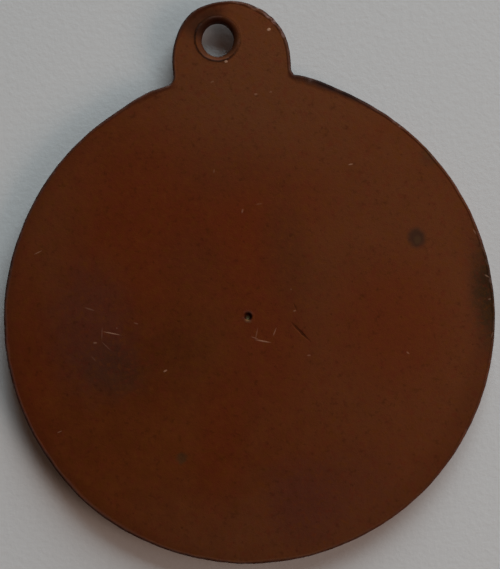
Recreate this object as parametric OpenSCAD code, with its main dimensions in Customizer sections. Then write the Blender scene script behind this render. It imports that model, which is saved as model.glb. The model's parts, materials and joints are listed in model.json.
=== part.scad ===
// One-piece struck medal with an integral suspension lug.
// It lies on the raised rim of its obverse, plain back up. +Y runs up the medal to its lug,
// and the origin is the centre of the disc on the surface that the rim rests on.

/* [Disc] */
// Diameter of the disc
disc_d = 38; // [36:0.5:60]
// Thickness from the rim's flat to the plain back
thick = 2; // [1.6:0.1:3]
// Radius of the rolled edge on the plain back
back_roll = 0.4; // [0.1:0.05:0.6]
// Radius of the rolled edge on the obverse
front_roll = 0.3; // [0.1:0.05:0.5]

/* [Lug] */
// Width of the lug, which is also the diameter of its round top
lug_w = 9.2; // [7:0.1:12]
// How far the top of the lug stands out beyond the disc's edge
lug_rise = 5.6; // [4.6:0.1:8]
// How far the lug's obverse face stands back from the rim's flat
lug_relief = 0.5; // [0.1:0.05:0.7]
// Radius of the fillet at the left foot of the lug, seen on the back
fillet_left = 0.6; // [0.3:0.05:1.2]
// Radius of the fillet at the right foot of the lug, seen on the back
fillet_right = 0.25; // [0.2:0.05:1.2]

/* [Suspension hole] */
// Diameter of the drilled hole
hole_d = 2.7; // [2:0.1:3.2]
// Offset of the hole to the left of the lug's middle, seen on the back
hole_left = 0.95; // [0:0.05:1.2]
// Offset of the hole above the centre of the lug's round top
hole_up = 1.7; // [0:0.05:1.8]
// Diameter of the countersink on the plain back
sink_d = 3.5; // [3.3:0.1:4]
// Depth of the countersink
sink_depth = 0.3; // [0.1:0.05:0.5]
// Width and depth of the deburring chamfer on the obverse
deburr = 0.12; // [0.05:0.01:0.2]

/* [Centre mark] */
// Diameter of the centre-punch pit in the plain back
pit_d = 0.55; // [0.2:0.05:1]
// Depth of the pit
pit_depth = 0.22; // [0.1:0.02:0.4]

/* [Obverse] */
// Width of the raised rim, with its rolled edge
rim_w = 1.4; // [1:0.1:2]
// Depth of the field below the rim's flat
field_depth = 0.45; // [0.35:0.05:0.6]
// Number of beads inside the rim
bead_count = 72; // [24:1:90]
// Diameter of a bead
bead_d = 0.56; // [0.3:0.02:0.6]
// Height of the wreath and of the torch above the field
relief_h = 0.25; // [0.1:0.05:0.3]
// Radius of the wreath's stems
wreath_r = 12.6; // [11:0.1:13]
// Leaf pairs on each branch of the wreath
leaf_pairs = 9; // [5:1:11]
// Length of a leaf
leaf_len = 3.6; // [2:0.1:4]
// Height of the torch, from the foot of its handle to the tip of its flame
torch_h = 15.5; // [10:0.5:17]

/* [Hidden] */
$fn = 128;
eps = 0.02;
disc_r = disc_d / 2;

lug_r = lug_w / 2;
lug_y = disc_r + lug_rise - lug_r;
hole_x = -hole_left;
hole_y = lug_y + hole_up;

rim_slope = 0.3;
rim_in = disc_r - rim_w;
field_r = rim_in - rim_slope;
lug_root = rim_in + 0.2;
bead_r = field_r - bead_d;

branch_start = 4;
branch_end = 146;
first_pair = 16;
pair_step = 130 / leaf_pairs;
stem_w = 0.5;
stem_h = relief_h * 0.7;
leaf_w = leaf_len * 0.36;
leaf_lean = 26;
leaf_gap = 0.15;
knot_r = 0.9;

// Half of a plate's cross-section from its inner end x0 to its edge x1, between z0 and z1,
// with the edge rolled top and bottom.
module rolled_half(x0, x1, z0, z1) {
    translate([x0, z0])
        square([x1 - x0 - back_roll, z1 - z0]);
    translate([x0, z0 + front_roll])
        square([x1 - x0, z1 - z0 - front_roll - back_roll]);
    translate([x1 - back_roll, z1 - back_roll])
        circle(r = back_roll);
    translate([x1 - front_roll, z0 + front_roll])
        circle(r = front_roll);
}

// The disc: a plain back, and a raised rim around the sunk field of the obverse.
module disc() {
    rotate_extrude()
        difference() {
            rolled_half(0, disc_r, 0, thick);
            polygon([
                [-1, -1],
                [rim_in, -1],
                [rim_in, 0],
                [field_r, field_depth],
                [-1, field_depth]
            ]);
        }
}

// The lug's round top and its straight neck, which ends inside the disc's rim.
module lug() {
    translate([0, lug_y, 0])
        rotate_extrude(angle = 180)
            rolled_half(0, lug_r, lug_relief, thick);
    for (side = [0, 1])
        mirror([side, 0, 0])
            translate([0, lug_y, 0])
                rotate([90, 0, 0])
                    linear_extrude(height = lug_y - lug_root)
                        rolled_half(0, lug_r, lug_relief, thick);
}

// A small web that rounds off the corner between the neck and the disc with a concave fillet.
// side is -1 for the left foot of the lug and 1 for the right one.
module fillet(side, r) {
    cx = lug_r + r;
    cy = sqrt(pow(disc_r + r, 2) - pow(cx, 2));
    foot = [cx, cy] * disc_r / (disc_r + r);
    buried = 0.97;
    mirror([side < 0 ? 1 : 0, 0, 0])
        translate([0, 0, front_roll + lug_relief])
            linear_extrude(height = thick - back_roll - front_roll - lug_relief)
                difference() {
                    polygon([
                        [lug_r * buried, cy - eps],
                        [cx, cy - eps],
                        foot * (1 + eps / disc_r),
                        foot * buried,
                        [lug_r, foot[1]] * buried
                    ]);
                    translate([cx - eps, cy - eps])
                        circle(r = r);
                }
}

// A row of beads just inside the rim, each a low cone with a flat top.
module beads() {
    for (i = [0 : bead_count - 1])
        rotate(i * 360 / bead_count)
            translate([bead_r, 0, field_depth - relief_h])
                cylinder(d1 = bead_d / 2, d2 = bead_d, h = relief_h + eps);
}

// Raises a flat shape by h above the field. The obverse faces down, so it grows towards -Z.
module raised(h) {
    translate([0, 0, field_depth - h])
        linear_extrude(height = h + eps)
            children();
}

// One leaf, a pointed lens between two arcs, which lies along +X from its stalk at the origin.
module leaf(len, w) {
    arc_r = (pow(len / 2, 2) + pow(w / 2, 2)) / w;
    intersection() {
        translate([len / 2, w / 2 - arc_r])
            circle(r = arc_r);
        translate([len / 2, arc_r - w / 2])
            circle(r = arc_r);
    }
}

// One branch of the wreath: a curved stem, with leaves in pairs at even steps along it.
// Angles run from the foot of the medal, and the branch climbs on the +X side.
module branch() {
    raised(stem_h)
        difference() {
            circle(r = wreath_r + stem_w / 2);
            circle(r = wreath_r - stem_w / 2);
            translate([-disc_d, -disc_r])
                square([disc_d, disc_d]);
            rotate(branch_start - 180)
                square(disc_r);
            rotate(branch_end - 90)
                square(disc_r);
        }
    for (i = [0 : leaf_pairs - 1])
        rotate(first_pair - 90 + i * pair_step)
            for (side = [-1, 1])
                raised(relief_h)
                    translate([wreath_r + side * leaf_gap, 0])
                        rotate(90 - side * leaf_lean)
                            leaf(leaf_len, leaf_w);
}

// Two branches and the knot that ties them at the foot.
module wreath() {
    branch();
    mirror([1, 0, 0])
        branch();
    translate([0, -wreath_r, 0])
        raised(relief_h)
            circle(r = knot_r);
}

// A flat bar that tapers evenly from width w0 at y0 to width w1 at y1.
module taper(w0, w1, y0, y1) {
    polygon([[-w0 / 2, y0], [w0 / 2, y0], [w1 / 2, y1], [-w1 / 2, y1]]);
}

// The torch: a handle, a collar, a cup, the cup's lip and a flame of three tongues.
// It is drawn 15.5 mm high and scaled to torch_h.
module torch() {
    raised(relief_h)
        scale(torch_h / 15.5) {
            taper(0.9, 2, -7.8, -1);
            taper(3.4, 3.4, -1.3, -0.6);
            taper(2.6, 4.4, -0.7, 1);
            taper(5, 5, 0.9, 1.5);
            for (tongue = [[-1.2, 14, 4.4], [0, 0, 6.4], [1.2, -14, 4.4]])
                translate([tongue[0], 1.3])
                    rotate(90 + tongue[1])
                        leaf(tongue[2], tongue[2] * 0.36);
        }
}

// A cone that flares a hole in the face at z = 0: d_face wide there, d_deep wide at its depth.
module flare(d_face, d_deep, depth) {
    over = 0.5;
    widening = (d_face - d_deep) / depth;
    translate([0, 0, -depth])
        cylinder(d1 = d_deep, d2 = d_face + widening * over, h = depth + over);
}

// The drilled suspension hole, countersunk on the back and deburred on the obverse.
module hole_cut() {
    translate([hole_x, hole_y, -1])
        cylinder(d = hole_d, h = thick + 2);
    translate([hole_x, hole_y, thick])
        flare(sink_d, hole_d, sink_depth);
    translate([hole_x, hole_y, lug_relief])
        mirror([0, 0, 1])
            flare(hole_d + 2 * deburr, hole_d, deburr);
}

// The whole medal, which is a single piece of metal.
module medal() {
    color([0.30, 0.15, 0.08])
        difference() {
            union() {
                disc();
                lug();
                fillet(-1, fillet_left);
                fillet(1, fillet_right);
                beads();
                wreath();
                torch();
            }
            hole_cut();
            translate([0, 0, thick])
                flare(pit_d, pit_d * 0.3, pit_depth);
        }
}

medal();
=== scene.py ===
import json
import math

import bpy
import numpy as np
from mathutils.geometry import delaunay_2d_cdt
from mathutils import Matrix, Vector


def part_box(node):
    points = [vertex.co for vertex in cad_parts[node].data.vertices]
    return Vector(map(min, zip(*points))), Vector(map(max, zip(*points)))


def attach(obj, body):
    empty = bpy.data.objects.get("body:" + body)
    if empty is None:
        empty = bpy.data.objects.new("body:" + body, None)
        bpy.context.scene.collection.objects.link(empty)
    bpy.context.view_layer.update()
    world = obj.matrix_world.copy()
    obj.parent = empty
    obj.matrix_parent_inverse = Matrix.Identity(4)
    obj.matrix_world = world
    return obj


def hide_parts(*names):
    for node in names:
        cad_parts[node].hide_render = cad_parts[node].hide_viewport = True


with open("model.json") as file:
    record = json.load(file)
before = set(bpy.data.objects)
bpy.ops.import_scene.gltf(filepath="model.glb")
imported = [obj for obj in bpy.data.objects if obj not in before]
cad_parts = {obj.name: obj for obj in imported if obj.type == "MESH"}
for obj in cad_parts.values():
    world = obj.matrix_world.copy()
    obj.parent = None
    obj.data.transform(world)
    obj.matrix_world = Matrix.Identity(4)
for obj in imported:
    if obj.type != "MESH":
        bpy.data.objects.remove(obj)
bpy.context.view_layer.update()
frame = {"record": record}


# ---- The blank -------------------------------------------------------------------------------
# The medal is one piece of copper alloy about 2 mm thick. The disc and the lug were cut from the
# plate in one outline, and the edge was then trimmed by hand, so it is round but not perfect:
# it swells and flattens by about a tenth of a millimetre, and flares where the lug begins.
MM = 0.001
SIDE_ROOM = 0.02
TOP_ROOM = 0.01
box_low, box_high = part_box("medal")
DISC_R = (box_high[0] - box_low[0]) / 2 / MM - SIDE_ROOM
THICK = (box_high[2] - box_low[2]) / MM
LUG_TOP = box_high[1] / MM - TOP_ROOM
LUG_R = 4.59
LUG_Y = LUG_TOP - LUG_R
FOOT_LEFT = 0.6
FOOT_RIGHT = 0.18
EDGE_STEP = 0.15
NECK_POINTS = 8

hole = next(m for m in frame["record"]["mounts"] if m["name"] == "ribbon_hole")
HOLE = np.array(hole["pos_m"][:2]) / MM
HOLE_R = hole["dims"]["r_mm"]

chance = np.random.default_rng(38)


def arc(centre, radius, start, end):
    """Points along an arc from start to end, in degrees, without its last point."""
    count = max(3, round(abs(math.radians(end - start)) * radius / EDGE_STEP))
    angle = np.radians(np.linspace(start, end, count, endpoint=False))
    return np.array(centre) + radius * np.column_stack([np.cos(angle), np.sin(angle)])


def foot_centre(side, radius):
    """The centre of the hollow fillet between the disc and one side of the lug."""
    x = LUG_R + radius
    return np.array([side * x, math.sqrt((DISC_R + radius) ** 2 - x**2)])


def heading(point):
    """The direction of a point from the disc's centre, in degrees."""
    return math.degrees(math.atan2(point[1], point[0]))


def even_loop(points, step):
    """The same closed outline with its points at even steps."""
    closed = np.vstack([points, points[:1]])
    run = np.concatenate([[0], np.cumsum(np.linalg.norm(np.diff(closed, axis=0), axis=1))])
    at = np.linspace(0, run[-1], round(run[-1] / step), endpoint=False)
    return np.column_stack([np.interp(at, run, closed[:, k]) for k in (0, 1)])


def outward(loop):
    """The outward normal at each point of a counter-clockwise loop."""
    along = np.roll(loop, -1, axis=0) - np.roll(loop, 1, axis=0)
    along /= np.linalg.norm(along, axis=1)[:, None]
    return np.column_stack([along[:, 1], -along[:, 0]])


def ripple(count, waves, size):
    """A smooth closed run of unevenness, up to size. waves is the fewest and the most bumps."""
    fewest, most = waves
    turn = np.linspace(0, 2 * math.pi, count, endpoint=False)
    run = np.zeros(count)
    for bumps in range(fewest, most, max(1, (most - fewest) // 12)):
        run += np.sin(bumps * turn + chance.uniform(0, 2 * math.pi)) * chance.uniform(0.4, 1)
    return size * run / np.abs(run).max()


def swell(angles, centre, width):
    """1 where an angle is at the centre, falling smoothly to 0 at a few times width, in degrees."""
    off = (angles - centre + 180) % 360 - 180
    return np.exp(-((off / width) ** 2))


def smooth(low, high, value):
    """0 below low, 1 above high, and an even curve between them."""
    t = np.clip((value - low) / (high - low), 0, 1)
    return t * t * (3 - 2 * t)


left_foot = foot_centre(-1, FOOT_LEFT)
right_foot = foot_centre(1, FOOT_RIGHT)
outline = even_loop(
    np.vstack([
        arc((0, LUG_Y), LUG_R, 0, 180),
        np.linspace((-LUG_R, LUG_Y), (-LUG_R, left_foot[1]), NECK_POINTS, endpoint=False),
        arc(left_foot, FOOT_LEFT, 0, heading(-left_foot)),
        arc((0, 0), DISC_R, heading(left_foot), 360 + heading(right_foot)),
        arc(right_foot, FOOT_RIGHT, heading(-right_foot), -180),
        np.linspace((LUG_R, right_foot[1]), (LUG_R, LUG_Y), NECK_POINTS, endpoint=False),
    ]),
    EDGE_STEP,
)
COUNT = len(outline)
facing = np.degrees(np.arctan2(outline[:, 1], outline[:, 0]))
from_centre = np.linalg.norm(outline, axis=1)
# 1 along the disc and 0 along the lug.
on_disc = 1 - smooth(DISC_R + 0.1, DISC_R + 0.5, from_centre)
# Directions from the middle of the lug's round top.
lug_angle = np.degrees(np.arctan2(outline[:, 1] - LUG_Y, outline[:, 0]))

# Hand trimming, as a push outward in millimetres: small waves from the file, then swellings and
# flats of the disc, by direction from its centre, half width in degrees and push, and one swelling
# of the lug's upper left.
FILED_IN = 0.025
FILE_WAVES = 0.012
SWELLINGS = [(228, 13, 0.09), (153, 9, -0.05), (287, 16, -0.05), (110, 6, 0.16), (73, 7, 0.21)]
LUG_SWELLING = 0.22
trim = -FILED_IN + ripple(COUNT, (20, 90), FILE_WAVES)
for at, width, push in SWELLINGS:
    trim += on_disc * push * swell(facing, at, width)
trim += (1 - on_disc) * LUG_SWELLING * swell(lug_angle, 128, 20)
normals = outward(outline)
edge = outline + normals * trim[:, None]
normals = outward(edge)


# ---- The rolled edge -------------------------------------------------------------------------
# Deburring and long wear have rolled the edge over. The back's corner has a radius of about a
# quarter millimetre, wider on the lug's upper right where a ring has rubbed, with small nicks.
# The lug's obverse stands half a millimetre back from the rim that the medal rests on.
BURR_ROOM = 0.016
BACK = THICK - BURR_ROOM
BACK_ROLL = 0.24
FRONT_ROLL = 0.3
LUG_BACKSET = 0.5
NECK_STARTS = 18.7
NECK_ENDS = 19.0
rubbed = (1 - on_disc) * swell(lug_angle, 48, 24)
back_roll = BACK_ROLL + ripple(COUNT, (7, 40), 0.05) + 0.1 * rubbed
rough = ripple(COUNT, (90, 230), 1.0) * (0.006 + 0.02 * rubbed)

# Nicks in the back's corner: direction from the disc's centre, half width in degrees, depth.
NICKS = [
    (48.1, 0.55, 0.10),
    (49.6, 0.40, 0.06),
    (71.6, 0.50, 0.07),
    (13.0, 0.60, 0.06),
    (9.5, 0.45, 0.09),
    (5.2, 0.70, 0.05),
    (-31.0, 0.50, 0.05),
    (139.0, 0.50, 0.05),
    (163.5, 0.60, 0.06),
    (203.0, 0.50, 0.05),
    (251.0, 0.70, 0.05),
]
# The same in the lug's corner, with directions from the middle of its round top.
LUG_NICKS = [(22, 3.0, 0.08), (38, 2.4, 0.11), (46, 2.0, 0.07), (63, 3.0, 0.09), (80, 2.5, 0.05)]
nick = sum(depth * on_disc * swell(facing, at, width) for at, width, depth in NICKS)
nick += sum(depth * (1 - on_disc) * swell(lug_angle, at, width) for at, width, depth in LUG_NICKS)

# Grime with painted shade on the corner and the wall: darkest along the disc right of the lug,
# dark on the left side, which faces away from the lamp, and lightest on the upper right.
left_side = on_disc * swell(facing, 195, 75)
dark_stretch = on_disc * swell(facing, 66, 13)
edge_grime_and_shade = 0.50 + 0.5 * dark_stretch + 0.20 * left_side + 0.2 * (1 - on_disc)
edge_grime_and_shade += on_disc * (0.25 * swell(facing, 112, 9) - 0.10 * swell(facing, 30, 20))


def relieved(x, y):
    """Height of the obverse's rim and of the lug's underside, which stands back from the rim."""
    return LUG_BACKSET * smooth(NECK_STARTS, NECK_ENDS, np.hypot(x, y))


foot_ring = edge - normals * FRONT_ROLL
foot_z = relieved(foot_ring[:, 0], foot_ring[:, 1])
rings = []
ring_wear = []
ring_grime_and_shade = []

# Rings over the back's corner. The first is where the flat back begins, clear of the nicks.
for turn in np.radians(np.linspace(0, 90, 8)):
    inset = back_roll * (1 - math.sin(turn)) + rough * math.sin(turn) + nick * math.sin(2 * turn)
    drop = back_roll * (1 - math.cos(turn)) + nick * (0.3 + 0.5 * math.sin(2 * turn))
    if turn == 0:
        inset = back_roll
        drop = np.zeros(COUNT)
    flat = edge - normals * inset[:, None]
    rings.append(np.column_stack([flat, BACK - drop]))
    corner = 0.16 * math.sin(2 * turn) * (1 - dark_stretch)
    ring_wear.append(corner + 0.55 * rubbed * math.sin(turn) + 2.0 * nick)
    # The outer rings carry the most grime and painted shade, and on the left side and along the
    # dark stretch the whole roll does.
    share = math.sin(turn) + (1 - math.sin(turn)) * np.maximum(left_side, dark_stretch)
    ring_grime_and_shade.append(edge_grime_and_shade * (0.5 + 0.5 * share) + 0.3 * math.sin(turn) ** 2)

# Rings down the wall, which keeps shear marks from the blank's cutting.
top_wall = BACK - back_roll
for share in (0.25, 0.5, 0.75):
    flat = edge - normals * (rough + ripple(COUNT, (60, 160), 0.012))[:, None]
    height = top_wall * (1 - share) + (foot_z + FRONT_ROLL) * share
    rings.append(np.column_stack([flat, height]))
    ring_wear.append(0.05 + 0.3 * rubbed)
    ring_grime_and_shade.append(edge_grime_and_shade + 0.3)

# Rings round the obverse's corner.
for turn in np.radians(np.linspace(0, 90, 6)):
    flat = edge - normals * (FRONT_ROLL * (1 - math.cos(turn)))
    rings.append(np.column_stack([flat, foot_z + FRONT_ROLL * (1 - math.sin(turn))]))
    ring_wear.append(np.full(COUNT, 0.4 * math.sin(2 * turn)))
    ring_grime_and_shade.append(edge_grime_and_shade * math.cos(turn))


# ---- The drilled hole ------------------------------------------------------------------------
# The suspension hole was drilled off the lug's middle line and countersunk by hand on the back.
# A ring has worn it a little taller than wide, and it keeps a thin lip of burr on the back.
HOLE_COUNT = 96
SINK_R = 1.73
around = np.linspace(0, 2 * math.pi, HOLE_COUNT, endpoint=False)
hole_way = np.column_stack([np.cos(around), np.sin(around)])
worn_bore = np.array([HOLE_R - 0.10, HOLE_R + 0.03])
sink_edge = SINK_R + ripple(HOLE_COUNT, (2, 9), 0.035)


def bore_ring(reach, height):
    """One ring of the hole's wall. reach is a radius, or a width and a height for an oval."""
    return np.column_stack([HOLE + hole_way * reach, np.broadcast_to(height, HOLE_COUNT)])


# From the countersink's edge on the back, down the bore, to the deburred edge on the obverse.
hole_rings = [
    bore_ring(sink_edge[:, None], BACK),
    bore_ring(sink_edge[:, None] - 0.04, BACK - 0.03),
    bore_ring(sink_edge[:, None] * 0.55 + worn_bore * 0.45, BACK - 0.09),
    bore_ring(sink_edge[:, None] * 0.15 + worn_bore * 0.85, BACK - 0.17),
    bore_ring(worn_bore, BACK - 0.26),
    bore_ring(worn_bore + 0.008, 1.45),
    bore_ring(worn_bore, 1.15),
    bore_ring(worn_bore + 0.006, 0.88),
    bore_ring(worn_bore, LUG_BACKSET + 0.15),
    bore_ring(worn_bore + 0.05, LUG_BACKSET + 0.06),
    bore_ring(worn_bore + 0.12, LUG_BACKSET),
]


# ---- The plain back --------------------------------------------------------------------------
# The back was left flat and plain. It is very slightly wavy from rolling and striking, has small
# handling dents, and a centre-punch mark in the middle, which pushed up a low ring round its pit.
PUNCH = np.array([-0.10, 0.15])
PIT_DEPTH = 0.17
PIT_FLOOR_R = 0.12
PIT_TOP_R = 0.32
PIT_LIP_R = 0.40
HOLE_LIP_R = 1.84
LIP_WIDTH = 0.07
SMALL_DENTS = 46
DENTS_WITHIN = 17.5
# Dents: place, radius and depth. The first two are above the hole, and the third is the small
# spot at the lower left.
back_dents = [(-1.9, 23.2, 0.75, 0.07), (-1.1, 23.6, 0.5, 0.04), (-5.95, -10.4, 0.3, 0.03)]
for _ in range(SMALL_DENTS):
    angle = chance.uniform(0, 2 * math.pi)
    reach = DENTS_WITHIN * math.sqrt(chance.uniform(0, 1))
    spot = (reach * math.cos(angle), reach * math.sin(angle))
    back_dents.append((*spot, chance.uniform(0.2, 0.7), chance.uniform(0.004, 0.016)))
# Waves: pitch in radians to the millimetre, direction and start.
WAVES = 14
back_waves = [
    (chance.uniform(0.15, 0.75), chance.uniform(0, 2 * math.pi), chance.uniform(0, 2 * math.pi))
    for _ in range(WAVES)
]


def back_height(x, y):
    """Height of the plain back at each point, in millimetres."""
    height = np.full(x.shape, BACK)
    for pitch, way, start in back_waves:
        along = x * math.cos(way) + y * math.sin(way)
        height -= 0.0012 / pitch * (1 + np.sin(along * pitch + start)) * 0.5
    for dent_x, dent_y, radius, depth in back_dents:
        height -= depth * np.exp(-(((x - dent_x) ** 2 + (y - dent_y) ** 2) / radius**2))
    from_punch = np.hypot(x - PUNCH[0], y - PUNCH[1])
    height -= PIT_DEPTH * (1 - smooth(PIT_FLOOR_R, PIT_TOP_R, from_punch))
    height += 0.008 * np.exp(-(((from_punch - PIT_LIP_R) / LIP_WIDTH) ** 2))
    from_hole = np.hypot(x - HOLE[0], y - HOLE[1])
    height += 0.005 * np.exp(-(((from_hole - HOLE_LIP_R) / LIP_WIDTH) ** 2))
    return np.minimum(height, THICK - 0.001)


# ---- The struck obverse ----------------------------------------------------------------------
# The face that lies on the table was struck in a die: a raised rim, a row of beads, a wreath of
# two branches tied with a knot, and a torch. Its high points are rounded, as soft dies leave them.
RIM_IN = 17.6
FIELD_R = 17.3
FIELD = 0.45
BEADS = 72
BEAD_AT = FIELD_R - 0.56
BEAD_R = 0.28
WREATH_R = 12.6
STEM_R = 0.26
KNOT_R = 0.9
BRANCH = (4, 146)
LEAF_PAIRS = 9
FIRST_PAIR = 16
PAIR_STEP = 130 / LEAF_PAIRS
LEAF_LEN = 3.6
LEAF_W = LEAF_LEN * 0.36
LEAF_LEAN = 26
RELIEF = 0.25


def dome(share):
    """A rounded top: 1 where share is 0 and nothing where it passes 1."""
    return np.sqrt(np.clip(1 - share**2, 0, 1))


def leaf_height(x, y, stalk, way, length, width):
    """A pointed leaf with a rounded blade and a sunk middle vein, seen along the way it points."""
    dx, dy = x - stalk[0], y - stalk[1]
    along = dx * math.cos(way) + dy * math.sin(way)
    across = -dx * math.sin(way) + dy * math.cos(way)
    arc_r = ((length / 2) ** 2 + (width / 2) ** 2) / width
    half = np.sqrt(np.clip(arc_r**2 - (along - length / 2) ** 2, 0, None)) - arc_r + width / 2
    inside = (half > 0.02) & (along > 0) & (along < length)
    blade = dome(across / np.maximum(half, 0.02))
    vein = 0.35 * np.exp(-((across / 0.09) ** 2)) * (1 - smooth(length * 0.7, length, along))
    return np.where(inside, blade * (1 - vein), 0)


def bar_height(x, y, w0, w1, y0, y1, bevel):
    """A tapered bar with bevelled sides and ends."""
    half = (w0 + (w1 - w0) * (y - y0) / (y1 - y0)) / 2
    inset = np.minimum(half - np.abs(x), np.minimum(y - y0, y1 - y))
    return smooth(-0.05, bevel, inset)


def obverse_height(x, y):
    """Height of the obverse at each point: 0 on the rim and FIELD in the sunk field."""
    reach = np.hypot(x, y)
    angle = np.degrees(np.arctan2(x, -y))
    raised = np.zeros(x.shape)
    step = 2 * math.pi / BEADS
    nearest = np.round(np.arctan2(y, x) / step) * step
    bead = np.hypot(x - BEAD_AT * np.cos(nearest), y - BEAD_AT * np.sin(nearest))
    raised = np.maximum(raised, RELIEF * dome(bead / BEAD_R))
    stem = 0.7 * dome((reach - WREATH_R) / STEM_R)
    stem = stem * ((np.abs(angle) > BRANCH[0]) & (np.abs(angle) < BRANCH[1]))
    raised = np.maximum(raised, RELIEF * stem)
    for side in (-1, 1):
        for pair in range(LEAF_PAIRS):
            place = math.radians(FIRST_PAIR - 90 + pair * PAIR_STEP)
            for lean in (-1, 1):
                at = WREATH_R + lean * 0.15
                stalk = (side * at * math.cos(place), at * math.sin(place))
                way = place + math.radians(90 - lean * LEAF_LEAN)
                if side < 0:
                    way = math.pi - way
                leaf = leaf_height(x, y, stalk, way, LEAF_LEN, LEAF_W)
                raised = np.maximum(raised, RELIEF * leaf)
    knot = np.hypot(x, y + WREATH_R)
    folds = 1 - 0.18 * np.cos(np.arctan2(y + WREATH_R, x) * 6)
    raised = np.maximum(raised, RELIEF * dome(knot / KNOT_R) * folds)
    handle = bar_height(x, y, 0.9, 2, -7.8, -1, 0.3) * (0.85 + 0.15 * np.cos(y * 7))
    collar = bar_height(x, y, 3.4, 3.4, -1.3, -0.6, 0.2)
    cup = bar_height(x, y, 2.6, 4.4, -0.7, 1, 0.35) * (0.85 + 0.15 * np.cos(x * 9))
    lip = bar_height(x, y, 5, 5, 0.9, 1.5, 0.2)
    for part in (handle, collar, cup, lip):
        raised = np.maximum(raised, RELIEF * part)
    for base, lean, length in ((-1.2, 14, 4.4), (0, 0, 6.4), (1.2, -14, 4.4)):
        sway = 0.22 * np.sin((y - 1.3) * 1.3) * smooth(1.3, 3.5, y)
        way = math.radians(90 + lean)
        tongue = leaf_height(x + sway, y, (base, 1.3), way, length, length * 0.36)
        raised = np.maximum(raised, RELIEF * tongue)
    sunk = FIELD * (1 - smooth(FIELD_R - 0.02, RIM_IN, reach))
    return relieved(x, y) + sunk - raised * (reach < FIELD_R)


# ---- Making the mesh -------------------------------------------------------------------------
# The real piece is one solid, so the mesh is one closed skin. Both faces are triangulated between
# the edge's rings and the hole's, finely enough for the struck relief, and share those rings.
LUG_ROOM = 6


def hex_grid(step, reach):
    """Points in rows, each set off by half a step, with room above them for the lug."""
    rows = np.arange(-reach, reach + LUG_ROOM, step * math.sqrt(3) / 2)
    columns = np.arange(-reach, reach, step)
    x = columns[None, :] + (np.arange(len(rows)) % 2)[:, None] * step / 2
    y = np.broadcast_to(rows[:, None], x.shape)
    return np.column_stack([x.ravel(), y.ravel()])


def inside_by(points):
    """How far each point lies inside the medal's plain outline."""
    reach = np.hypot(points[:, 0], points[:, 1])
    in_lug = np.where(
        points[:, 1] > LUG_Y,
        LUG_R - np.hypot(points[:, 0], points[:, 1] - LUG_Y),
        np.where(points[:, 1] > 0, LUG_R - np.abs(points[:, 0]), -1),
    )
    return np.maximum(DISC_R - reach, in_lug)


def circle(centre, radius, count):
    """A ring of points."""
    turn = np.linspace(0, 2 * math.pi, count, endpoint=False)
    return np.array(centre) + radius * np.column_stack([np.cos(turn), np.sin(turn)])


def holds(loop, points):
    """Which points lie inside a closed loop."""
    within = np.zeros(len(points), bool)
    after = np.roll(loop, -1, axis=0)
    order = np.argsort(points[:, 1])
    sorted_y = points[order, 1]
    for (x0, y0), (x1, y1) in zip(loop, after):
        if y0 == y1:
            continue
        low, high = np.searchsorted(sorted_y, (min(y0, y1), max(y0, y1)))
        some = order[low:high]
        cross = x0 + (points[some, 1] - y0) / (y1 - y0) * (x1 - x0)
        within[some] ^= points[some, 0] < cross
    return within


def face_triangles(rim, hole_loop, inner):
    """Triangles between the rim loop and the hole's loop, using the points inside them."""
    points = np.vstack([rim, hole_loop, inner])
    first = len(rim)
    last = first + len(hole_loop)
    loops = [(k, (k + 1) % first) for k in range(first)]
    loops += [(k, first + (k + 1 - first) % len(hole_loop)) for k in range(first, last)]
    made = delaunay_2d_cdt([p for p in points.tolist()], loops, [], 0, 1e-7)
    if len(made[0]) != len(points):
        raise RuntimeError("two points of a face fell together")
    corners = np.array(made[2])
    middles = points[corners].mean(axis=1)
    keep = holds(rim, middles) & ~holds(hole_loop, middles)
    return corners[keep]


back_rim = rings[0][:, :2]
front_rim = rings[-1][:, :2]
back_hole = hole_rings[0][:, :2]
front_hole = hole_rings[-1][:, :2]

grid = hex_grid(0.32, 20)
from_punch = np.hypot(grid[:, 0] - PUNCH[0], grid[:, 1] - PUNCH[1])
from_hole = np.hypot(grid[:, 0] - HOLE[0], grid[:, 1] - HOLE[1])
grid = grid[(inside_by(grid) > 1.15) & (from_punch > 0.95) & (from_hole > 2.75)]
back_inner = [grid, PUNCH[None, :]]
back_inner += [circle(PUNCH, r, n) for r, n in (
    (0.05, 8), (0.10, 16), (0.14, 20), (0.18, 24), (0.22, 26), (0.27, 28),
    (0.31, 30), (0.36, 32), (0.42, 32), (0.50, 30), (0.62, 26), (0.78, 24))]
back_inner += [circle(HOLE, r, n) for r, n in (
    (1.80, 96), (1.84, 96), (1.89, 92), (1.97, 84), (2.10, 76), (2.28, 66), (2.50, 56))]
back_inner += [(edge - normals * (back_roll + deeper)[:, None])[::skip] for deeper, skip in (
    (0.07, 1), (0.17, 1), (0.30, 2), (0.48, 2))]
back_inner = np.vstack(back_inner)
back_inner = back_inner[inside_by(back_inner) > 0.3]

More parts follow.
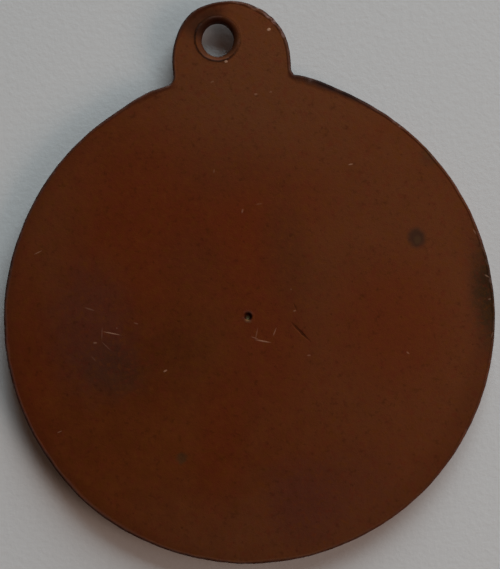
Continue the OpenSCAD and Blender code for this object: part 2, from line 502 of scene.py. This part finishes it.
on_field = hex_grid(0.155, 20)
on_field = on_field[np.hypot(on_field[:, 0], on_field[:, 1]) < FIELD_R - 0.1]
on_lug = hex_grid(0.34, 30)
on_lug = on_lug[np.hypot(on_lug[:, 0], on_lug[:, 1]) > DISC_R + 0.15]
from_hole = np.hypot(on_lug[:, 0] - HOLE[0], on_lug[:, 1] - HOLE[1])
on_lug = on_lug[(inside_by(on_lug) > 0.55) & (from_hole > 1.75)]
front_inner = [on_field, on_lug]
front_inner += [circle((0, 0), r, 700) for r in (17.26, 17.33, 17.40, 17.46, 17.52, 17.60)]
front_inner += [circle((0, 0), r, 480) for r in (17.80, 18.10, 18.40)]
front_inner += [circle(HOLE, r, n) for r, n in ((1.56, 70), (1.66, 60))]
neck_arcs = np.vstack([circle((0, 0), r, 900) for r in (18.72, 18.79, 18.86, 18.93, 19.0)])
in_neck = (np.abs(neck_arcs[:, 0]) < LUG_R - 0.45) & (neck_arcs[:, 1] > 0)
front_inner = np.vstack([*front_inner, neck_arcs[in_neck]])

back_faces = face_triangles(back_rim, back_hole, back_inner)
front_faces = face_triangles(front_rim, front_hole, front_inner)

# The mesh's points in order, each with how worn it is and how darkened by grime and painted
# shade: the edge, the hole, the back and the obverse. The hole's two rows run ring by ring from
# the back down.
HOLE_WEAR = [0.1, 0.15, 0, 0, 0.1, 0, 0, 0, 0.1, 0.3, 0.3]
HOLE_GRIME = [0.1, 0.2, 0.4, 0.3, 0.2, 0.3, 0.4, 0.4, 0.4, 0.3, 0.1]
hole_start = len(rings) * COUNT
vertices = [np.vstack(rings), np.vstack(hole_rings)]
worn_at = [np.concatenate(ring_wear), np.repeat(HOLE_WEAR, HOLE_COUNT)]
grime_and_shade_at = [np.concatenate(ring_grime_and_shade), np.repeat(HOLE_GRIME, HOLE_COUNT)]

back_start = hole_start + len(hole_rings) * HOLE_COUNT
back_z = back_height(back_inner[:, 0], back_inner[:, 1])
vertices.append(np.column_stack([back_inner, back_z]))
pit_lip = np.exp(-(((np.hypot(*(back_inner - PUNCH).T) - PIT_LIP_R) / 0.08) ** 2))
worn_at.append(0.15 * pit_lip)

# Grime and painted shade creep in from the edge over the back, by an amount taken from the nearest
# edge point, with a wider band on the left side, away from the lamp, and a faint darkening
# along the lower right.
EVERY = 6
apart = back_inner[:, None, :] - outline[None, ::EVERY, :]
nearest = np.linalg.norm(apart, axis=2).argmin(axis=1) * EVERY
into_face = inside_by(back_inner) - back_roll[nearest]
spread = 0.10 + 0.25 * smooth(0.7, 1.0, edge_grime_and_shade[nearest])
on_face = (0.5 * edge_grime_and_shade * (0.5 + dark_stretch))[nearest] * (1 - smooth(0, spread, into_face))
on_face = np.maximum(on_face, 0.30 * left_side[nearest] * (1 - smooth(0, 1.1, into_face)))
lower_right = on_disc * swell(facing, -25, 55)
on_face = np.maximum(on_face, 0.20 * lower_right[nearest] * (1 - smooth(0.2, 2.4, into_face)))
grime_and_shade_at.append(on_face)

front_start = back_start + len(back_inner)
front_z = obverse_height(front_inner[:, 0], front_inner[:, 1])
vertices.append(np.column_stack([front_inner, front_z]))
worn_at.append((1 - smooth(0.19, 0.30, front_z)) * 0.45)
# Grime settles beside raised work, where a point lies deeper than the face round it.
around_it = sum(
    obverse_height(front_inner[:, 0] + dx, front_inner[:, 1] + dy)
    for dx, dy in circle((0, 0), 0.22, 6)
) / 6
grime_and_shade_at.append(0.12 + 0.75 * smooth(0.0, 0.07, front_z - around_it))

vertices = np.vstack(vertices)
worn_at = np.clip(np.concatenate(worn_at), 0, 1)
grime_and_shade_at = np.clip(np.concatenate(grime_and_shade_at), 0, 1)
top = np.arange(COUNT)
vertices[top, 2] = back_height(vertices[top, 0], vertices[top, 1])
top_hole = hole_start + np.arange(HOLE_COUNT)
vertices[top_hole, 2] = back_height(vertices[top_hole, 0], vertices[top_hole, 1])


def skin(start, count, number, flip):
    """Quads between rings that follow each other in the list of vertices."""
    here = np.arange(count)
    after = (here + 1) % count
    quads = []
    for k in range(number - 1):
        a = start + k * count
        b = a + count
        quad = np.column_stack([a + here, b + here, b + after, a + after])
        quads.append(quad[:, ::-1] if flip else quad)
    return np.vstack(quads)


def placed(corners, rim_start, hole_at, inner_start):
    """Turns a face's own numbering into the whole mesh's."""
    table = np.concatenate([
        rim_start + np.arange(COUNT),
        hole_at + np.arange(HOLE_COUNT),
        inner_start + np.arange(corners.max() + 1),
    ])
    return table[corners]


last_ring = (len(rings) - 1) * COUNT
last_hole = hole_start + (len(hole_rings) - 1) * HOLE_COUNT
back_tris = placed(back_faces, 0, hole_start, back_start)
front_tris = placed(front_faces, last_ring, last_hole, front_start)[:, ::-1]
faces = skin(0, COUNT, len(rings), False).tolist()
faces += skin(hole_start, HOLE_COUNT, len(hole_rings), True).tolist()
faces += back_tris.tolist()
faces += front_tris.tolist()

medal_mesh = bpy.data.meshes.new("medal_struck")
medal_mesh.from_pydata((vertices * MM).tolist(), [], faces)
medal_mesh.validate()
medal_mesh.polygons.foreach_set("use_smooth", np.ones(len(medal_mesh.polygons), bool))
# Two point attributes: how worn, and how darkened by grime and painted shade.
for name, values in (("worn", worn_at), ("grime_and_shade", grime_and_shade_at)):
    attribute = medal_mesh.attributes.new(name, "FLOAT", "POINT")
    attribute.data.foreach_set("value", values.astype(np.float32))
medal = bpy.data.objects.new("medal_struck", medal_mesh)
bpy.context.scene.collection.objects.link(medal)
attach(medal, "root")
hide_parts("medal")


# ---- Patinated copper ------------------------------------------------------------------------
# Copper alloy, struck and left to tone for many years. The skin is an even satin brown oxide,
# redder where it is thin, with dull purple and grey stains, dark pits and fine scratches, and
# pink metal only where the edge has been rubbed. Painted shade darkens the edge, the punch pit and
# the countersink above the hole, and painted light makes a glint on the lug and a crescent in the
# punch pit. A metal keeps the default IOR.
def srgb(code):
    """A hex colour turned to linear light."""
    parts = [int(code[k : k + 2], 16) / 255 for k in (1, 3, 5)]
    linear = [p / 12.92 if p <= 0.04045 else ((p + 0.055) / 1.055) ** 2.4 for p in parts]
    return (*linear, 1)


def add(kind, inputs, out=0, **settings):
    """Adds a node with its settings and links, and gives back one of its outputs."""
    node = tree.nodes.new("ShaderNode" + kind)
    for name, value in settings.items():
        setattr(node, name, value)
    for socket, value in inputs.items():
        if isinstance(value, bpy.types.NodeSocket):
            tree.links.new(value, node.inputs[socket])
        else:
            node.inputs[socket].default_value = value
    return node.outputs[out] if len(node.outputs) else node


BROWN = srgb("#7A3B1A")
BROWN_DEEP = srgb("#733618")
BROWN_RED = srgb("#7C3417")
BROWN_LIGHT = srgb("#81431C")
BROWN_PALE = srgb("#7C482B")
PURPLE = srgb("#6E3A2A")
GREY_BROWN = srgb("#6C3A20")
GREEN_GREY = srgb("#58412A")
OLIVE_BROWN = srgb("#723E17")
SLATE = srgb("#56392A")
RUST_RED = srgb("#7B3220")
OLIVE = srgb("#784313")
TARNISH_AND_SHADE = srgb("#1E0F09")
DIRT = srgb("#45210F")
GRIME_AND_SHADE = srgb("#28110A")
HOLE_SHADE_GREY = srgb("#2C1F1A")
BARE_COPPER = srgb("#A8837A")
SCRAPED_AND_GLINT = srgb("#D9A88A")
PALE_DIRT_AND_LIGHT = srgb("#86673F")
GREY_GREEN = srgb("#554F36")

copper = bpy.data.materials.new("patinated_copper")
copper.use_nodes = True
tree = copper.node_tree
tree.nodes.clear()
SOFT = {"interpolation_type": "SMOOTHSTEP"}

place = add("TexCoord", {}, "Object")
mm = add("Mapping", {"Vector": place, "Scale": (1 / MM, 1 / MM, 1 / MM)})

# Clouds of tone in the oxide, from 8 mm wide down to the grain of the metal at 0.1 mm.
clouds = add("TexNoise", {"Vector": mm, "Scale": 1 / 8.0, "Detail": 3, "Distortion": 0.5})
drift = add("TexNoise", {"Vector": mm, "Scale": 1 / 4.2, "Detail": 3, "Distortion": 0.8})
mottle = add("TexNoise", {"Vector": mm, "Scale": 1 / 1.4, "Detail": 5, "Roughness": 0.68})
ragged = add("TexNoise", {"Vector": mm, "Scale": 1 / 1.1, "Detail": 4, "Roughness": 0.62})
crumbs = add("TexNoise", {"Vector": mm, "Scale": 1 / 0.34, "Detail": 3, "Roughness": 0.6})
grain = add("TexNoise", {"Vector": mm, "Scale": 1 / 0.26, "Detail": 3, "Roughness": 0.65})
ragged = add("Math", {0: ragged, 1: 0.5}, operation="SUBTRACT")
crumbs = add("Math", {0: crumbs, 1: 0.5}, operation="SUBTRACT")

# How far out a mark's distance is measured, in half sizes. Each mark is reckoned by a spherical
# gradient, because that keeps this many marks within what the renderer can hold at once.
FAR = 3


def patch(x, y, half_x, half_y, turn=0, soft=0.5, uneven=0.9, edge_noise=None):
    """A mask for a mark on the back: 1 within an oval round (x, y) and 0 outside it."""
    oval = {"Vector": mm, "Location": (x, y, THICK), "Rotation": (0, 0, math.radians(turn))}
    reach = (FAR * half_x, FAR * half_y, FAR * 1.2)
    local = add("Mapping", {**oval, "Scale": reach}, vector_type="TEXTURE")
    near = add("TexGradient", {"Vector": local}, "Fac", gradient_type="SPHERICAL")
    away = add("Math", {0: near, 1: -FAR, 2: FAR}, operation="MULTIPLY_ADD")
    frayed = {0: edge_noise or ragged, 1: uneven, 2: away}
    away = add("Math", frayed, operation="MULTIPLY_ADD")
    return add("MapRange", {0: away, 1: 1 - soft, 2: 1 + soft, 3: 1, 4: 0}, **SOFT)


def lay(mask, strength, tint):
    """Lays a tint over the colour so far, where the mask says."""
    amount = add("Math", {0: mask, 1: strength}, operation="MULTIPLY")
    return add("Mix", {0: amount, 6: colour, 7: tint}, 2, data_type="RGBA")


light_clouds = add("MapRange", {0: clouds, 1: 0.34, 2: 0.66}, **SOFT)
colour = add("Mix", {0: light_clouds, 6: BROWN_DEEP, 7: BROWN}, 2, data_type="RGBA")
colour = lay(add("MapRange", {0: mottle, 1: 0.44, 2: 0.78}, **SOFT), 0.50, BROWN_LIGHT)
colour = lay(add("MapRange", {0: drift, 1: 0.48, 2: 0.72}, **SOFT), 0.45, BROWN_RED)

# Broad tints over the back: place, half size, slant, softness, strength.
TINTS = [
    (15.0, 0.0, 15.0, 20.0, 0, 0.9, 0.70, BROWN_PALE),
    (2.0, 18.5, 10.0, 7.0, 0, 0.8, 0.85, BROWN_PALE),
    (4.0, -17.5, 10.0, 4.0, 0, 0.8, 0.75, BROWN_PALE),
    (-6.0, -15.5, 5.0, 3.0, -20, 0.8, 0.45, BROWN_PALE),
    (-15.5, 7.0, 3.0, 8.0, -28, 0.8, 0.45, BROWN_PALE),
    (-9.0, -9.5, 6.0, 5.0, -35, 0.7, 0.40, BROWN_LIGHT),
    (0.9, 2.5, 2.6, 8.5, 6, 0.7, 0.60, BROWN_RED),
    (-2.6, -8.5, 1.8, 5.5, -12, 0.7, 0.55, BROWN_RED),
    (-7.5, 9.5, 5.5, 5.0, 20, 0.7, 0.60, BROWN_RED),
    (-5.0, 5.0, 4.5, 4.0, 0, 0.8, 0.50, BROWN_RED),
    (1.5, 8.5, 4.5, 3.0, 10, 0.8, 0.50, BROWN_RED),
    (11.0, -1.0, 4.0, 4.5, 0, 0.7, 0.55, BROWN_RED),
    (-17.0, -1.0, 1.6, 7.0, 0, 0.7, 0.50, BROWN_RED),
    (-4.0, -1.5, 2.4, 3.6, 10, 0.8, 0.20, OLIVE_BROWN),
    (3.3, 5.2, 1.6, 4.4, 4, 0.8, 0.60, GREY_BROWN),
    (-4.2, 4.8, 2.2, 2.0, 0, 0.8, 0.35, GREY_BROWN),
    (-12.2, 0.0, 3.0, 4.6, 0, 0.6, 0.75, PURPLE),
    (-10.8, -3.2, 2.4, 1.9, -20, 0.6, 0.50, SLATE),
    (-7.0, -2.6, 3.6, 3.4, -30, 0.7, 0.14, TARNISH_AND_SHADE),
    (3.2, -14.6, 2.6, 3.0, 10, 0.6, 0.75, PURPLE),
    (7.4, -13.2, 3.4, 2.6, 20, 0.7, 0.35, PURPLE),
    (-0.8, 11.6, 3.4, 2.0, 0, 0.8, 0.40, GREY_BROWN),
    (17.7, 0.8, 0.9, 5.5, 0, 0.7, 0.35, PURPLE),
    (19.1, 0.8, 1.6, 4.5, 0, 0.5, 0.90, GREEN_GREY),
    (18.8, 1.0, 1.2, 3.0, 0, 0.6, 0.38, TARNISH_AND_SHADE),
    (15.0, 11.6, 0.9, 0.7, 30, 0.6, 0.55, GREEN_GREY),
]
for x, y, half_x, half_y, turn, soft, strength, tint in TINTS:
    colour = lay(patch(x, y, half_x, half_y, turn, soft), strength, tint)

# Freckles: the oxide is redder or more olive from one half millimetre to the next.
freckle = add("TexNoise", {"Vector": mm, "Scale": 1 / 0.6, "Detail": 4, "Roughness": 0.75})
colour = lay(add("MapRange", {0: freckle, 1: 0.50, 2: 0.68}, **SOFT), 0.38, RUST_RED)
colour = lay(add("MapRange", {0: freckle, 1: 0.30, 2: 0.50, 3: 1, 4: 0}, **SOFT), 0.38, OLIVE)

# Dark speckle of thicker oxide, and pits up to 0.2 mm wide at random places.
speckle = add("TexNoise", {"Vector": mm, "Scale": 1 / 0.42, "Detail": 3, "Roughness": 0.6})
colour = lay(add("MapRange", {0: speckle, 1: 0.54, 2: 0.78}, **SOFT), 0.38, DIRT)
speckle_gaps = add("MapRange", {0: speckle, 1: 0.28, 2: 0.46, 3: 1, 4: 0}, **SOFT)
colour = lay(speckle_gaps, 0.40, BROWN_LIGHT)
cell = {"Vector": mm, "Scale": 1 / 0.9, "Randomness": 1.0}
chosen = add("SeparateColor", {0: add("TexVoronoi", cell, "Color")})
pit_size = add("MapRange", {0: chosen, 1: 0.60, 2: 1.0, 3: 0.0, 4: 0.13}, **SOFT)
pits = add("Math", {0: add("TexVoronoi", cell, "Distance"), 1: pit_size}, operation="SUBTRACT")
pits = add("MapRange", {0: pits, 1: -0.12, 2: 0.04, 3: 1, 4: 0}, **SOFT)
colour = lay(pits, 0.40, DIRT)

# Scuffs: short dark strokes about 0.05 mm wide, in two directions.
scuffs = None
for slant, spacing in ((52, 1.5), (-24, 1.8)):
    stroke = {"Vector": mm, "Rotation": (0, 0, math.radians(slant)), "Scale": (3.6, 0.55, 3)}
    stroke = add("Mapping", stroke, vector_type="TEXTURE")
    cell = {"Vector": stroke, "Scale": 1.6 / spacing, "Randomness": 1.0}
    chosen = add("SeparateColor", {0: add("TexVoronoi", cell, "Color")}, 1)
    width = add("MapRange", {0: chosen, 1: 0.72, 2: 1.0, 3: 0.0, 4: 0.12}, **SOFT)
    near = add("Math", {0: add("TexVoronoi", cell, "Distance"), 1: width}, operation="SUBTRACT")
    near = add("MapRange", {0: near, 1: -0.06, 2: 0.03, 3: 1, 4: 0}, **SOFT)
    scuffs = near if scuffs is None else add("Math", {0: scuffs, 1: near}, operation="MAXIMUM")
colour = lay(scuffs, 0.14, DIRT)

# Distinct marks: the round spot, the small spot, painted shade above the hole, a dark ring round
# the countersink, dirt in the bore, and the punch mark.
round_spot = patch(13.3, 5.3, 0.64, 0.75, 10, 0.45, 0.45, crumbs)
spot_eye = patch(13.36, 5.15, 0.26, 0.30, 0, 0.5, 0.5, crumbs)
small_spot = patch(-5.95, -10.4, 0.42, 0.38, 0, 0.5, 1.4, crumbs)
colour = lay(round_spot, 0.90, SLATE)
colour = lay(spot_eye, 0.18, PALE_DIRT_AND_LIGHT)
colour = lay(small_spot, 0.60, GREEN_GREY)
# Painted shade, with a grey stain, on the countersink's upper left, which faces away from the lamp.
hole_shade = patch(-1.9, 23.1, 1.6, 1.0, 15, 0.6, 0.7)
colour = lay(hole_shade, 0.58, HOLE_SHADE_GREY)
# A dark ring round the countersink's edge, darker towards the lower left.
from_bore = {"Vector": mm, "Location": (HOLE[0], HOLE[1], THICK), "Scale": (1, 1, 50)}
from_bore = add("Mapping", from_bore, vector_type="TEXTURE")
way_down_left = {0: from_bore, 1: (-0.35, -0.35, 0)}
low_left = add("VectorMath", way_down_left, "Value", operation="DOT_PRODUCT")
low_left = add("MapRange", {0: low_left, 1: -0.7, 2: 0.5, 3: 0.25, 4: 0.95}, **SOFT)
from_bore = add("VectorMath", {0: from_bore}, "Value", operation="LENGTH")
from_bore = add("Math", {0: crumbs, 1: 0.12, 2: from_bore}, operation="MULTIPLY_ADD")
groove_in = add("MapRange", {0: from_bore, 1: 1.62, 2: 1.74}, **SOFT)
groove_out = add("MapRange", {0: from_bore, 1: 1.77, 2: 1.90, 3: 1, 4: 0}, **SOFT)
groove = add("Math", {0: groove_in, 1: groove_out}, operation="MULTIPLY")
groove = add("Math", {0: groove, 1: low_left}, operation="MULTIPLY")
colour = lay(groove, 0.8, TARNISH_AND_SHADE)
bore_dirt = add("MapRange", {0: from_bore, 1: 1.38, 2: 1.62, 3: 1, 4: 0}, **SOFT)
colour = lay(bore_dirt, 0.25, TARNISH_AND_SHADE)
# The punch pit: painted shade over dark oxide in the pit, a grey-green floor, and a pale crescent
# of painted light on its lower rim, the side that faces the lamp.
punch_pit = patch(PUNCH[0] + 0.01, PUNCH[1] + 0.03, 0.34, 0.36, 0, 0.25, 0.2, crumbs)
punch_floor = patch(PUNCH[0], PUNCH[1] - 0.09, 0.13, 0.15, 0, 0.5, 0.3, crumbs)
punch_lip = patch(PUNCH[0] - 0.04, PUNCH[1] - 0.34, 0.27, 0.12, -12, 0.5, 0.4, crumbs)
colour = lay(punch_pit, 0.80, TARNISH_AND_SHADE)
colour = lay(punch_floor, 0.80, GREY_GREEN)
colour = lay(punch_lip, 0.35, PALE_DIRT_AND_LIGHT)

# Scratches: middle, half length, half width, slant and strength.
DARK_SCRATCHES = [(3.86, -1.31, 0.84, 0.095, -49, 0.75), (3.57, 0.64, 0.28, 0.060, -70, 0.35)]
PALE_SCRATCHES = [
    (-10.62, -0.42, 0.56, 0.045, -15, 1.0),
    (-11.42, -0.40, 0.40, 0.040, 84, 0.3),
    (-11.16, -1.36, 0.42, 0.040, -48, 0.25),
    (-12.24, 1.58, 0.34, 0.055, -22, 0.3),
    (-12.00, -1.05, 0.13, 0.070, 0, 0.6),
    (-12.20, -2.25, 0.22, 0.045, -50, 0.2),
    (-8.75, 0.23, 0.16, 0.055, -20, 0.4),
    (-6.75, -3.58, 0.13, 0.060, 25, 1.0),
    (0.93, -1.82, 0.52, 0.050, -14, 0.9),
    (0.35, -1.55, 0.30, 0.040, -25, 0.5),
    (0.46, -1.25, 0.43, 0.040, 75, 0.35),
    (1.86, -1.19, 0.28, 0.045, 65, 0.55),
    (3.50, 0.34, 0.10, 0.055, 10, 0.5),
    (4.37, -3.16, 0.13, 0.060, 0, 0.4),
    (8.6, 11.3, 0.16, 0.045, 8, 0.8),
    (-15.9, 6.2, 0.26, 0.040, 22, 0.6),
    (-15.2, -7.7, 0.17, 0.045, 20, 0.6),
    (12.0, -3.5, 0.12, 0.050, -40, 0.6),
    (1.70, 17.2, 0.12, 0.070, 0, 0.45),
    (2.86, 17.3, 0.10, 0.060, 0, 0.35),
    (-1.58, 18.4, 0.13, 0.060, 20, 0.3),
    (18.50, 1.98, 0.20, 0.050, -34, 0.7),
    (18.57, 0.20, 0.10, 0.060, 0, 0.5),
    (18.57, -2.56, 0.22, 0.045, 71, 0.6),
    (17.80, 5.42, 0.20, 0.050, -64, 0.5),
    (0.04, 8.30, 0.16, 0.060, 76, 0.45),
    (1.34, 8.75, 0.22, 0.050, 4, 0.2),
    (-1.93, 11.52, 0.13, 0.060, 76, 0.25),
]
marks = []
for scratches in (DARK_SCRATCHES, PALE_SCRATCHES):
    cut = None
    for x, y, half_long, half_wide, slant, strength in scratches:
        mark = patch(x, y, half_long, half_wide, slant, 0.5, 0.8, crumbs)
        mark = add("Math", {0: mark, 1: strength}, operation="MULTIPLY")
        cut = mark if cut is None else add("Math", {0: cut, 1: mark}, operation="MAXIMUM")
    marks.append(cut)
dark_marks, pale_marks = marks
colour = lay(dark_marks, 0.9, DIRT)
colour = lay(pale_marks, 0.55, SCRAPED_AND_GLINT)

# Dust-sized specks of bare metal.
cell = {"Vector": mm, "Scale": 1 / 2.1, "Randomness": 1.0}
chosen = add("SeparateColor", {0: add("TexVoronoi", cell, "Color")}, 1)
speck_size = add("MapRange", {0: chosen, 1: 0.78, 2: 1.0, 3: 0.0, 4: 0.045}, **SOFT)
specks = add("Math", {0: add("TexVoronoi", cell, "Distance"), 1: speck_size}, operation="SUBTRACT")
specks = add("MapRange", {0: specks, 1: -0.03, 2: 0.0, 3: 1, 4: 0}, **SOFT)
colour = lay(specks, 0.25, SCRAPED_AND_GLINT)

# The edge: dark grime with painted shade on the rolled corner and the wall, duller than the metal
# where it has caked, and oxide worn thin where it has been rubbed.
grime_and_shade = add("Attribute", {}, "Fac", attribute_name="grime_and_shade")
worn = add("Attribute", {}, "Fac", attribute_name="worn")
shear = add("Mapping", {"Vector": mm, "Scale": (1, 1, 0.12)})
shear = add("TexNoise", {"Vector": shear, "Scale": 1 / 0.16, "Detail": 3, "Roughness": 0.6})
patchy = add("MapRange", {0: mottle, 1: 0.25, 2: 0.60, 3: 0.65, 4: 1.0}, **SOFT)
caked_grime_and_shade = add("Math", {0: grime_and_shade, 1: patchy}, operation="MULTIPLY")
colour = lay(caked_grime_and_shade, 1.0, GRIME_AND_SHADE)
scuffed = add("MapRange", {0: speckle, 1: 0.44, 2: 0.60}, **SOFT)
thin = add("Math", {0: worn, 1: scuffed}, operation="MULTIPLY")
colour = lay(thin, 0.75, BARE_COPPER)
# A small highlight painted as a glint on the lug's rubbed upper right, and a pale spot on the burr
# below the hole.
glint = patch(3.05, 22.11, 0.14, 0.10, 20, 0.4, 0.6, crumbs)
burr = patch(-0.42, 19.87, 0.12, 0.09, 0, 0.4, 0.6, crumbs)
glint_and_burr = add("Math", {0: glint, 1: burr}, operation="MAXIMUM")
colour = lay(glint_and_burr, 0.8, SCRAPED_AND_GLINT)

stains_and_hole_shade = add("Math", {0: round_spot, 1: hole_shade}, operation="MAXIMUM")
rough_skin = add("MapRange", {0: mottle, 1: 0.3, 2: 0.75, 3: 0.60, 4: 0.70}, **SOFT)
rough_skin = add("Math", {0: stains_and_hole_shade, 1: 0.12, 2: rough_skin}, operation="MULTIPLY_ADD")
rubbed_and_glint_skin = add("Math", {0: glint_and_burr, 1: thin}, operation="MAXIMUM")
rough_skin = add("Math", {0: rubbed_and_glint_skin, 1: -0.12, 2: rough_skin}, operation="MULTIPLY_ADD")
caked_grime_and_shade_rough = {0: caked_grime_and_shade, 1: 0.25, 2: rough_skin}
rough_skin = add("Math", caked_grime_and_shade_rough, operation="MULTIPLY_ADD", use_clamp=True)
metal_skin = add("MapRange", {0: caked_grime_and_shade, 1: 0.15, 2: 0.80, 3: 0.96, 4: 0.50}, **SOFT)

# Relief of the skin in millimetres: grain, mottling, pits, scratches, and shear lines on the wall.
height = add("Math", {0: grain, 1: 0.010}, operation="MULTIPLY")
fine_grain = add("TexNoise", {"Vector": mm, "Scale": 1 / 0.10, "Detail": 2})
for mask, depth in (
    (mottle, 0.012),
    (fine_grain, 0.003),
    (pits, -0.006),
    (scuffs, -0.002),
    (dark_marks, -0.02),
    (pale_marks, 0.006),
    (glint_and_burr, 0.008),
    (add("Math", {0: shear, 1: grime_and_shade}, operation="MULTIPLY"), 0.03),
):
    height = add("Math", {0: mask, 1: depth, 2: height}, operation="MULTIPLY_ADD")
bump = add("Bump", {"Strength": 1.0, "Distance": MM, "Height": height})

skin_look = {"Base Color": colour, "Metallic": metal_skin, "Roughness": rough_skin, "Normal": bump}
add("OutputMaterial", {"Surface": add("BsdfPrincipled", skin_look)})
medal.data.materials.append(copper)


# ---- The paper and the light -----------------------------------------------------------------
# The medal lies on a sheet of plain pale paper under one large soft lamp, with a weak warm lamp
# on its other side and little light all round. Neither is part of the medal.
HALF_SHEET = 3.0
corner_ways = ((-1, -1), (1, -1), (1, 1), (-1, 1))
sheet_corners = [(x * HALF_SHEET, y * HALF_SHEET, 0) for x, y in corner_ways]
floor_mesh = bpy.data.meshes.new("paper")
floor_mesh.from_pydata(sheet_corners, [], [(0, 1, 2, 3)])
floor = bpy.data.objects.new("paper", floor_mesh)
bpy.context.scene.collection.objects.link(floor)

# Uncoated paper, pressed and dried: matt and nearly white, with a faint tooth half a millimetre
# apart.
paper = bpy.data.materials.new("plain_paper")
paper.use_nodes = True
tree = paper.node_tree
tree.nodes.clear()
place = add("TexCoord", {}, "Object")
mm = add("VectorMath", {0: place, 3: 1 / MM}, operation="SCALE")
fibre = add("TexNoise", {"Vector": mm, "Scale": 1 / 0.45, "Detail": 4, "Roughness": 0.6})
tones = {0: fibre, 6: srgb("#DAD8D6"), 7: srgb("#E0DEDC")}
tooth = add("Bump", {"Strength": 0.5, "Distance": MM * 0.05, "Height": fibre})
tone = add("Mix", tones, 2, data_type="RGBA")
sheet = add("BsdfPrincipled", {"Base Color": tone, "Roughness": 0.9, "Normal": tooth})
add("OutputMaterial", {"Surface": sheet})
floor.data.materials.append(paper)


def lamp(name, azimuth, elevation, distance, size, watts, tint):
    """A square soft lamp that points at the medal. Azimuth is counter-clockwise from +X."""
    data = bpy.data.lights.new(name, "AREA")
    data.shape = "SQUARE"
    data.size = size
    data.energy = watts
    data.color = srgb(tint)[:3]
    lamp_object = bpy.data.objects.new(name, data)
    a, e = math.radians(azimuth), math.radians(elevation)
    lamp_object.location = (
        distance * math.cos(a) * math.cos(e),
        distance * math.sin(a) * math.cos(e),
        distance * math.sin(e),
    )
    lamp_object.rotation_euler = (math.pi / 2 - e, 0, a + math.pi / 2)
    bpy.context.scene.collection.objects.link(lamp_object)


lamp("window_light", 68, 27, distance=1.10, size=0.86, watts=11.4, tint="#E4F7FF")
lamp("warm_light", -28, 32, distance=0.50, size=0.22, watts=0.50, tint="#FFD6C0")
lamp("room_light", -8, 42, distance=0.40, size=0.24, watts=0.17, tint="#F4FAFF")

world = bpy.data.worlds.new("room")
world.use_nodes = True
world.node_tree.nodes["Background"].inputs["Color"].default_value = srgb("#FFCBAD")
world.node_tree.nodes["Background"].inputs["Strength"].default_value = 0.06
bpy.context.scene.world = world
bpy.context.scene.view_settings.view_transform = "Standard"


# ---- The camera ------------------------------------------------------------------------------
# It looks straight down from about 100 mm above the back and is turned 4 degrees, so that the lug
# leans left. VIEW_HEIGHT is how much of the back it sees from top to bottom.
CAMERA_RISE = 0.100
VIEW_HEIGHT = 0.04383
CAMERA_X = 0.00023
CAMERA_Y = 0.00261
TURN = -4
camera_data = bpy.data.cameras.new("camera")
camera_data.sensor_fit = "AUTO"
camera_data.sensor_width = 36
camera_data.lens = camera_data.sensor_width * CAMERA_RISE / VIEW_HEIGHT
camera_data.clip_start = 0.01
camera_data.clip_end = 10
camera = bpy.data.objects.new("camera", camera_data)
camera.location = (CAMERA_X, CAMERA_Y, THICK * MM + CAMERA_RISE)
camera.rotation_euler = (0, 0, math.radians(TURN))
bpy.context.scene.collection.objects.link(camera)
bpy.context.scene.camera = camera

bpy.context.view_layer.update()
